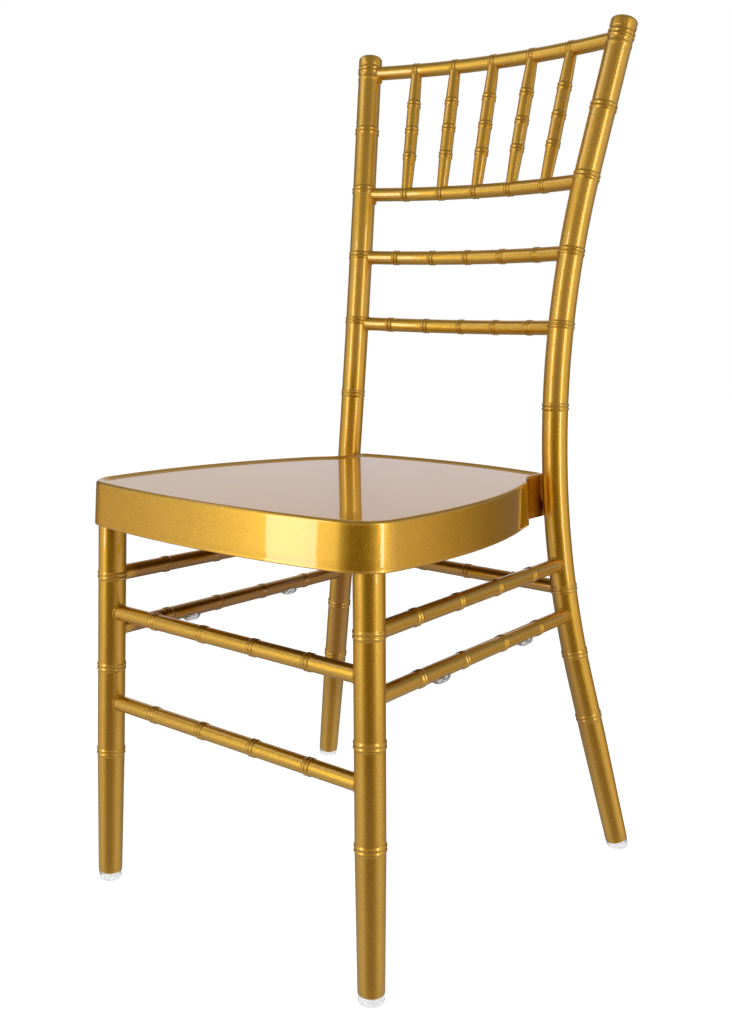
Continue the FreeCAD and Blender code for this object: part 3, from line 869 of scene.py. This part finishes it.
weldLoops = {"backWelds": [], "frameWelds": []}
for facts in joints:
    weldLoops["backWelds" if facts[0].z > 0.5 else "frameWelds"].append(
        saddle(*facts, welds["stand"], welds["steps"]))
for weldName, loops in weldLoops.items():
    adopt(weldPiece(weldName, loops))


# small drips of weld left hanging under two rails

weldDrips = {
    "radius": 0.0017,
    "length": 0.0046,
    "beside": 0.7,  # from the post and into the rail, in radii
    "inside": 0.4,
    "tip": 0.00005,
    "steps": 14,
    "sides": 20,
    "rails": (("crestRail", -1), ("spindleRail", -1), ("spindleRail", 1)),
}


def makeDrip(number, railName, side, values):
    arc = railArcs[railName]
    radius, length, steps = values["radius"], values["length"], values["steps"]
    along = side * (arc.reach - mainTube["radius"] - radius * values["beside"])
    head = arc.pointAt(along) - up * (smallTube["radius"] - radius * values["inside"])
    spots = [length * (1 - math.cos(math.pi * step / steps)) / 2 for step in range(steps + 1)]

    def radiusAt(spot):
        middle = 2 * spot / length - 1
        return max(values["tip"], radius * root(1 - middle * middle))

    adopt(bambooTube(f"weldDrip{number + 1}", {**mainTube, "sides": values["sides"]},
            lambda spot: head - up * spot, spots, radiusAt, []))


for number, (railName, side) in enumerate(weldDrips["rails"]):
    makeDrip(number, railName, side, weldDrips)
print("welds made:", len(joints))


# seat pan: one pressed sheet, folded down all round and notched for the posts

seat = {
    "height": 0.434,
    "front": 0.0387,
    "frontRadius": 0.840,
    "halfWidth": 0.1868,
    "widestBack": 0.080,
    "sideRadius": 0.620,
    "sideEnd": 0.296,
    "cornerRadius": 0.042,
    "notchOut": 0.1301,
    "notchStart": 0.3245,
    "notchBend": 0.010,
    "notchHollow": 0.045,
    "rear": 0.388,
    "rearRadius": 0.472,
    "edgeRadius": 0.0034,
    "lip": 0.0022,  # how far the pressed rim stands above the flat top
    "lipFoot": 0.0090,  # where its inner slope meets the flat, in from the edge
    "lipTop": 0.0042,
    "lipSteps": (8, 5),  # outside, inside
    "edgeSteps": (9, 5),
    "flatCut": 0.0004,  # last cut of the flat, in from the rim's slope
    "flare": 0.0015,  # extra lean of the apron where it ends at the notch
    "flareReach": 0.030,
    "sheet": 0.0015,
    "frontDepth": 0.0415,
    "rearDepth": 0.0455,
    "draft": 2.8,  # degrees the apron leans out
    "hemRadius": 0.0011,
    "hemReach": 1.9,  # how far up it takes over from the apron, and how far in it lies, in its radii
    "hemInset": 0.9,
    "hemEase": 0.0002,
    "hemTurns": (40, 20, 0, -20, -40, -62, -84, -106, -128, -150),
    "apronCuts": (0.03, 0.25, 0.5, 0.75, 0.97),
    "outlineStep": 0.004,
    "roundStep": 0.055,  # of the radius, round the corners
    "sameSpot": 0.000005,
}


class RoundCurve:
    # circle with the seat inside it, or outside it where bend is -1
    def __init__(self, centre, radius, bend=1):
        self.centre, self.radius, self.bend = Vector(centre), radius, bend

    def inside(self, spot):
        return self.radius - (spot - self.centre).length

    def foot(self, spot):
        return self.centre + (spot - self.centre).normalized() * self.radius

    def between(self, start, end, step):
        first = math.atan2(*(start - self.centre).yx)
        turn = (math.atan2(*(end - self.centre).yx) - first + math.pi) % (2 * math.pi) - math.pi
        count = max(2, math.ceil(abs(turn) * self.radius / step))
        ways = [Vector((math.cos(first + turn * n / count), math.sin(first + turn * n / count)))
                for n in range(count)]
        return [(self.centre + way * self.radius, way * self.bend) for way in ways]


class StraightCurve:
    # line with the seat on its left
    def __init__(self, start, end):
        self.start, self.way = Vector(start), (Vector(end) - Vector(start)).normalized()

    def inside(self, spot):
        away = spot - self.start
        return self.way.x * away.y - self.way.y * away.x

    def foot(self, spot):
        return self.start + self.way * (spot - self.start).dot(self.way)

    def between(self, start, end, step):
        count = max(1, math.ceil((end - start).length / step))
        outward = Vector((self.way.y, -self.way.x))
        return [(start + (end - start) * n / count, outward) for n in range(count)]


def filletBetween(first, second, meet, radius, bend):
    # centre at the same distance from both curves; bend is 1 inside the seat and -1 outside it
    spot = meet.copy()
    tiny = 1e-6
    for step in range(30):
        miss = [curve.inside(spot) - bend * radius for curve in (first, second)]
        slope = [[(curve.inside(spot + Vector(move)) - curve.inside(spot)) / tiny
                for move in ((tiny, 0), (0, tiny))] for curve in (first, second)]
        det = slope[0][0] * slope[1][1] - slope[0][1] * slope[1][0]
        spot = spot - Vector((miss[0] * slope[1][1] - miss[1] * slope[0][1],
                slope[0][0] * miss[1] - slope[1][0] * miss[0])) / det
    return spot, first.foot(spot), second.foot(spot)


def seatOutline(values):
    frontArc = RoundCurve((0, values["frontRadius"] - values["front"]), values["frontRadius"])
    sideArc = RoundCurve((values["halfWidth"] - values["sideRadius"], values["widestBack"]),
            values["sideRadius"])
    rearArc = RoundCurve((0, values["rear"] - values["rearRadius"]), values["rearRadius"])
    sideEnd = Vector((sideArc.centre.x + math.sqrt(values["sideRadius"] ** 2 - (
        values["sideEnd"] - values["widestBack"]) ** 2), values["sideEnd"]))
    notchStart = Vector((values["notchOut"], values["notchStart"]))
    notchEnd = Vector((values["notchOut"], rearArc.centre.y + math.sqrt(
        values["rearRadius"] ** 2 - values["notchOut"] ** 2)))
    corner = Vector((values["halfWidth"], 0.0))
    for step in range(12):
        corner = sideArc.foot(frontArc.foot(corner))
    curves = [frontArc, sideArc, StraightCurve(sideEnd, notchStart), StraightCurve(notchStart, notchEnd),
            rearArc]
    bend = values["notchBend"]
    rounds = [(corner, values["cornerRadius"], 1), (sideEnd, bend, 1),
            (notchStart, values["notchHollow"], -1), (notchEnd, bend, 1)]
    spots, start = [], Vector((0, -values["front"]))
    for number, (meet, radius, way) in enumerate(rounds):
        centre, leave, arrive = filletBetween(curves[number], curves[number + 1], meet, radius, way)
        spots += curves[number].between(start, leave, values["outlineStep"])
        spots += RoundCurve(centre, radius, way).between(leave, arrive, radius * values["roundStep"])
        start = arrive
    spots += rearArc.between(start, Vector((0, values["rear"])), values["outlineStep"])
    spots.append((Vector((0, values["rear"])), Vector((0, 1))))
    left = [(Vector((-spot.x, spot.y)), Vector((-out.x, out.y))) for spot, out in reversed(spots[1:-1])]
    return spots + left, sideEnd


def makeSeatPan(values):
    outline, sideEnd = seatOutline(values)
    loop, normals = zip(*outline)
    lean = math.radians(values["draft"])
    edge, thick, hem = values["edgeRadius"], values["sheet"], values["hemRadius"]
    run = values["rear"] + values["front"]

    def footDrop(spot):
        share = (spot.y + values["front"]) / run
        return values["frontDepth"] + share * (values["rearDepth"] - values["frontDepth"])

    def place(number, outset, drop):
        spot = loop[number] + normals[number] * outset
        return (spot.x, spot.y + frontLine, values["height"] - drop)

    def flareAt(spot):
        near = max(0.0, 1 - (Vector((abs(spot.x), spot.y)) - sideEnd).length / values["flareReach"])
        return values["flare"] * near * near * (3 - 2 * near)

    # from the flat top over a low rim, round the edge and down the leaning apron
    lip, foot, crown = values["lip"], values["lipFoot"], values["lipTop"]
    span = math.pi / 2 - lean
    slope = math.tan(lean)
    start = -lip * slope

    def rim(share, below):
        return (-foot + (foot - crown) * share, below - lip * (1 - math.cos(math.pi * share)) / 2)

    def overEdge(radius, inset, below, steps):
        back = radius * math.tan(span / 2)
        return [(start - inset - back + radius * math.sin(span * n / steps),
                below - lip + radius * (1 - math.cos(span * n / steps))) for n in range(steps + 1)]

    (lipOut, lipIn), (edgeOut, edgeIn) = values["lipSteps"], values["edgeSteps"]
    outer = [(-foot - values["flatCut"], 0.0)] + [rim(n / lipOut, 0.0) for n in range(lipOut + 1)]
    outer += overEdge(edge, 0.0, 0.0, edgeOut)
    inner = overEdge(edge - thick, thick, thick, edgeIn)[::-1]
    inner += [rim(n / lipIn, thick) for n in range(lipIn, -1, -1)]
    rows = []
    for number, spot in enumerate(loop):
        depth, flare = footDrop(spot), flareAt(spot)

        def leanAt(drop):
            return drop * slope + flare * max(0.0, drop / depth)

        profile, hemTop = list(outer), depth - hem * values["hemReach"]
        for share in values["apronCuts"]:
            drop = outer[-1][1] + (hemTop - outer[-1][1]) * share
            profile.append((leanAt(drop), drop))
        # rolled hem: a fine bead that turns inside
        middle = depth - hem
        base = leanAt(middle) - hem * values["hemInset"]
        profile += [(base + hem * math.cos(angle), middle - hem * math.sin(angle))
                for angle in map(math.radians, values["hemTurns"])]
        profile.append((leanAt(middle) - thick - values["hemEase"], hemTop))
        profile.append((leanAt(depth * 0.5) - thick, depth * 0.5))
        profile += inner
        rows.append([place(number, outset, drop) for outset, drop in profile])
    count, width = len(rows), len(rows[0])
    faces = []
    for number in range(count):
        here, following = number * width, (number + 1) % count * width
        faces += [(here + step, here + step + 1, following + step + 1, following + step)
                for step in range(width - 1)]
    faces.append([number * width for number in range(count)])
    faces.append([number * width + width - 1 for number in reversed(range(count))])
    mesh = newMesh("seatPan", [point for row in rows for point in row], faces=faces)
    mesh.polygons.foreach_set("use_smooth", [True] * len(faces))
    mesh.materials.append(gold)
    working = bmesh.new()
    working.from_mesh(mesh)
    bmesh.ops.remove_doubles(working, verts=working.verts, dist=values["sameSpot"])
    bmesh.ops.triangulate(working, faces=[face for face in working.faces if len(face.verts) > 4],
            quad_method="BEAUTY", ngon_method="BEAUTY")
    bmesh.ops.recalc_face_normals(working, faces=working.faces)
    working.to_mesh(mesh)
    working.free()
    adopt(addObject("seatPan", mesh), "seat_pan")


makeSeatPan(seat)
print("seat pan made")


# seat welds: the fillets in the corners between the notch walls and the posts

seatWelds = {
    "radius": 0.0021,
    "top": 0.4372,
    "bottom": 0.3955,
    "offWall": 0.7,  # how far the bead's middle stands off the wall and the post, in radii
    "offPost": 0.55,
    "steps": 60,
}


def makeSeatWelds(values):
    radius, loops = values["radius"], []
    for side in (-1, 1):
        loop = []
        for step in range(values["steps"] + 1):
            height = values["top"] + (values["bottom"] - values["top"]) * step / values["steps"]
            post = postAt(side, height)[0]
            wall = side * seat["notchOut"]
            away = side * (post.x - wall) - radius * values["offWall"]
            reach = mainTube["radius"] + radius * values["offPost"]
            forward = root(reach ** 2 - away ** 2)
            loop.append(Vector((wall + side * radius * values["offWall"], post.y - forward, height)))
        loops.append(loop)
    adopt(weldPiece("seatWelds", loops, radius, False), "seat_welds")


makeSeatWelds(seatWelds)
print("seat welds made")


# clear glides under the feet and clear bumpers under the side stretchers

glides = {
    "radius": 0.0121,
    "height": 0.0086,
    "edge": 0.0024,  # how round the bottom is
    "rim": 0.0006,
    "rimEase": 0.3,
    "groove": 0.0003,
    "grooveAt": (0.64, 0.68, 0.74, 0.78),
    "lowest": 0.0123,  # from the axis to the lowest point of the leaning foot
    "sides": 48,
    "sameSpot": 0.000002,
    "sharp": 40,  # degrees from which an edge is sharp
}


def lathe(working, foot, way, profile, sides):
    across = way.cross(Vector((0, 1, 0))).normalized()
    other = way.cross(across).normalized()
    rings = []
    for radius, along in profile:
        ring = []
        for out in around(across, other, sides):
            spot = foot + way * along + out * radius
            if spot.z < 0:
                spot = spot - way * (spot.z / way.z)
            ring.append(working.verts.new(spot))
        rings.append(ring)
    joinRings(working, rings)


def makeGlides(name, node, feet, values):
    working = bmesh.new()
    radius, height, edge, rim = values["radius"], values["height"], values["edge"], values["rim"]
    grooved = radius - values["groove"]
    # the rounded bottom, a moulded groove, then the rounded rim the tube stands on
    sides = [(radius - edge + edge * math.sin(math.radians(turn)), edge * (1 - math.cos(math.radians(turn))))
            for turn in range(0, 91, 15)]
    sides += [(out, height * share)
            for out, share in zip((radius, grooved, grooved, radius), values["grooveAt"])]
    ease = rim * values["rimEase"]
    sides += [(radius, height - rim), (radius - ease, height - ease), (radius - rim, height)]
    for foot, way in feet:
        bottom = (radius - edge, -values["lowest"] * math.tan(way.angle(up)))
        lathe(working, foot, way, [bottom] + sides, values["sides"])
    bmesh.ops.remove_doubles(working, verts=working.verts, dist=values["sameSpot"])
    adopt(finishMesh(name, working, clear, values["sharp"]), node, slot="clear_plastic")


makeGlides("frontGlides", "front_glides", [legAt(side, 0.0) for side in (-1, 1)], glides)
makeGlides("rearGlides", "rear_glides", [(line.foot, line.lowWay) for line in postLines.values()], glides)


# clear stacking bumpers: crescents of plastic moulded round the underside of the lower side stretchers

bumpers = {
    "length": 0.017,
    "drop": 0.0046,
    "halfTurn": 58,  # degrees round the tube on each side
    "clearance": 0.0002,
    "thinnest": 0.10,  # share of the drop left at the ends and sides
    "endPower": 3,  # how full it stays towards its ends and sides
    "sidePower": 2.6,
    "spots": {"front": 0.110, "rear": 0.272},
    "cuts": 20,
    "facets": 18,
    "sharp": 40,
}


def makeBumper(side, spotName, values):
    height = straightBars["sideHeights"]["Lower"]
    start, end = legAt(side, height)[0], postAt(side, height)[0]
    way = (end - start).normalized()
    across = up.cross(way).normalized()
    under = -way.cross(across)
    middle = start + way * values["spots"][spotName]
    saddleRadius = smallTube["radius"] + values["clearance"]
    wide = math.radians(values["halfTurn"])
    working, rings = bmesh.new(), []

    def fullness(share, power):
        return max(values["thinnest"], (1 - abs(share) ** power) ** (1 / power))

    for cut in range(values["cuts"] + 1):
        place = -math.cos(math.pi * cut / values["cuts"])
        spot, full = middle + way * place * values["length"] / 2, fullness(place, values["endPower"])
        inside, outside = [], []
        for facet in range(values["facets"] + 1):
            share = 2 * facet / values["facets"] - 1
            direction = across * math.sin(wide * share) + under * math.cos(wide * share)
            thick = values["drop"] * full * fullness(share, values["sidePower"])
            inside.append(spot + direction * saddleRadius)
            outside.append(spot + direction * (saddleRadius + thick))
        rings.append([working.verts.new(point) for point in inside + outside[::-1]])
    joinRings(working, rings)
    piece = finishMesh(f"bumper{spotName.title()}{sideNames[side]}", working, clear, values["sharp"])
    adopt(piece, f"stacking_bumper_{spotName}_{sideNames[side].lower()}", slot="clear_plastic")


for side in (-1, 1):
    for spotName in bumpers["spots"]:
        makeBumper(side, spotName, bumpers)
print("glides and bumpers made")


# flat stiffening bars under the seat, with eased edges

braces = {"ease": 0.0008, "segments": 3, "clear": 0.0035, "sharp": 35}


def makeBrace(name, node, values):
    low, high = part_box(node)
    working = bmesh.new()
    bmesh.ops.create_cube(working, size=1.0)
    for vert in working.verts:
        spot = [low[axis] if vert.co[axis] < 0 else high[axis] for axis in range(3)]
        # no longer than the seat is wide there
        across = seat["halfWidth"] - seat["sideRadius"] + math.sqrt(seat["sideRadius"] ** 2 - (
            spot[1] - frontLine - seat["widestBack"]) ** 2)
        spot[0] = math.copysign(min(abs(spot[0]), across - seat["sheet"] - values["clear"]), spot[0])
        vert.co = spot
    bmesh.ops.bevel(working, geom=working.edges[:], offset=values["ease"], segments=values["segments"],
            profile=0.5, affect="EDGES")
    adopt(finishMesh(name, working, gold, values["sharp"]), node)


for place in ("front", "rear"):
    makeBrace("brace" + place.title(), "seat_brace_" + place, braces)
print("braces made")
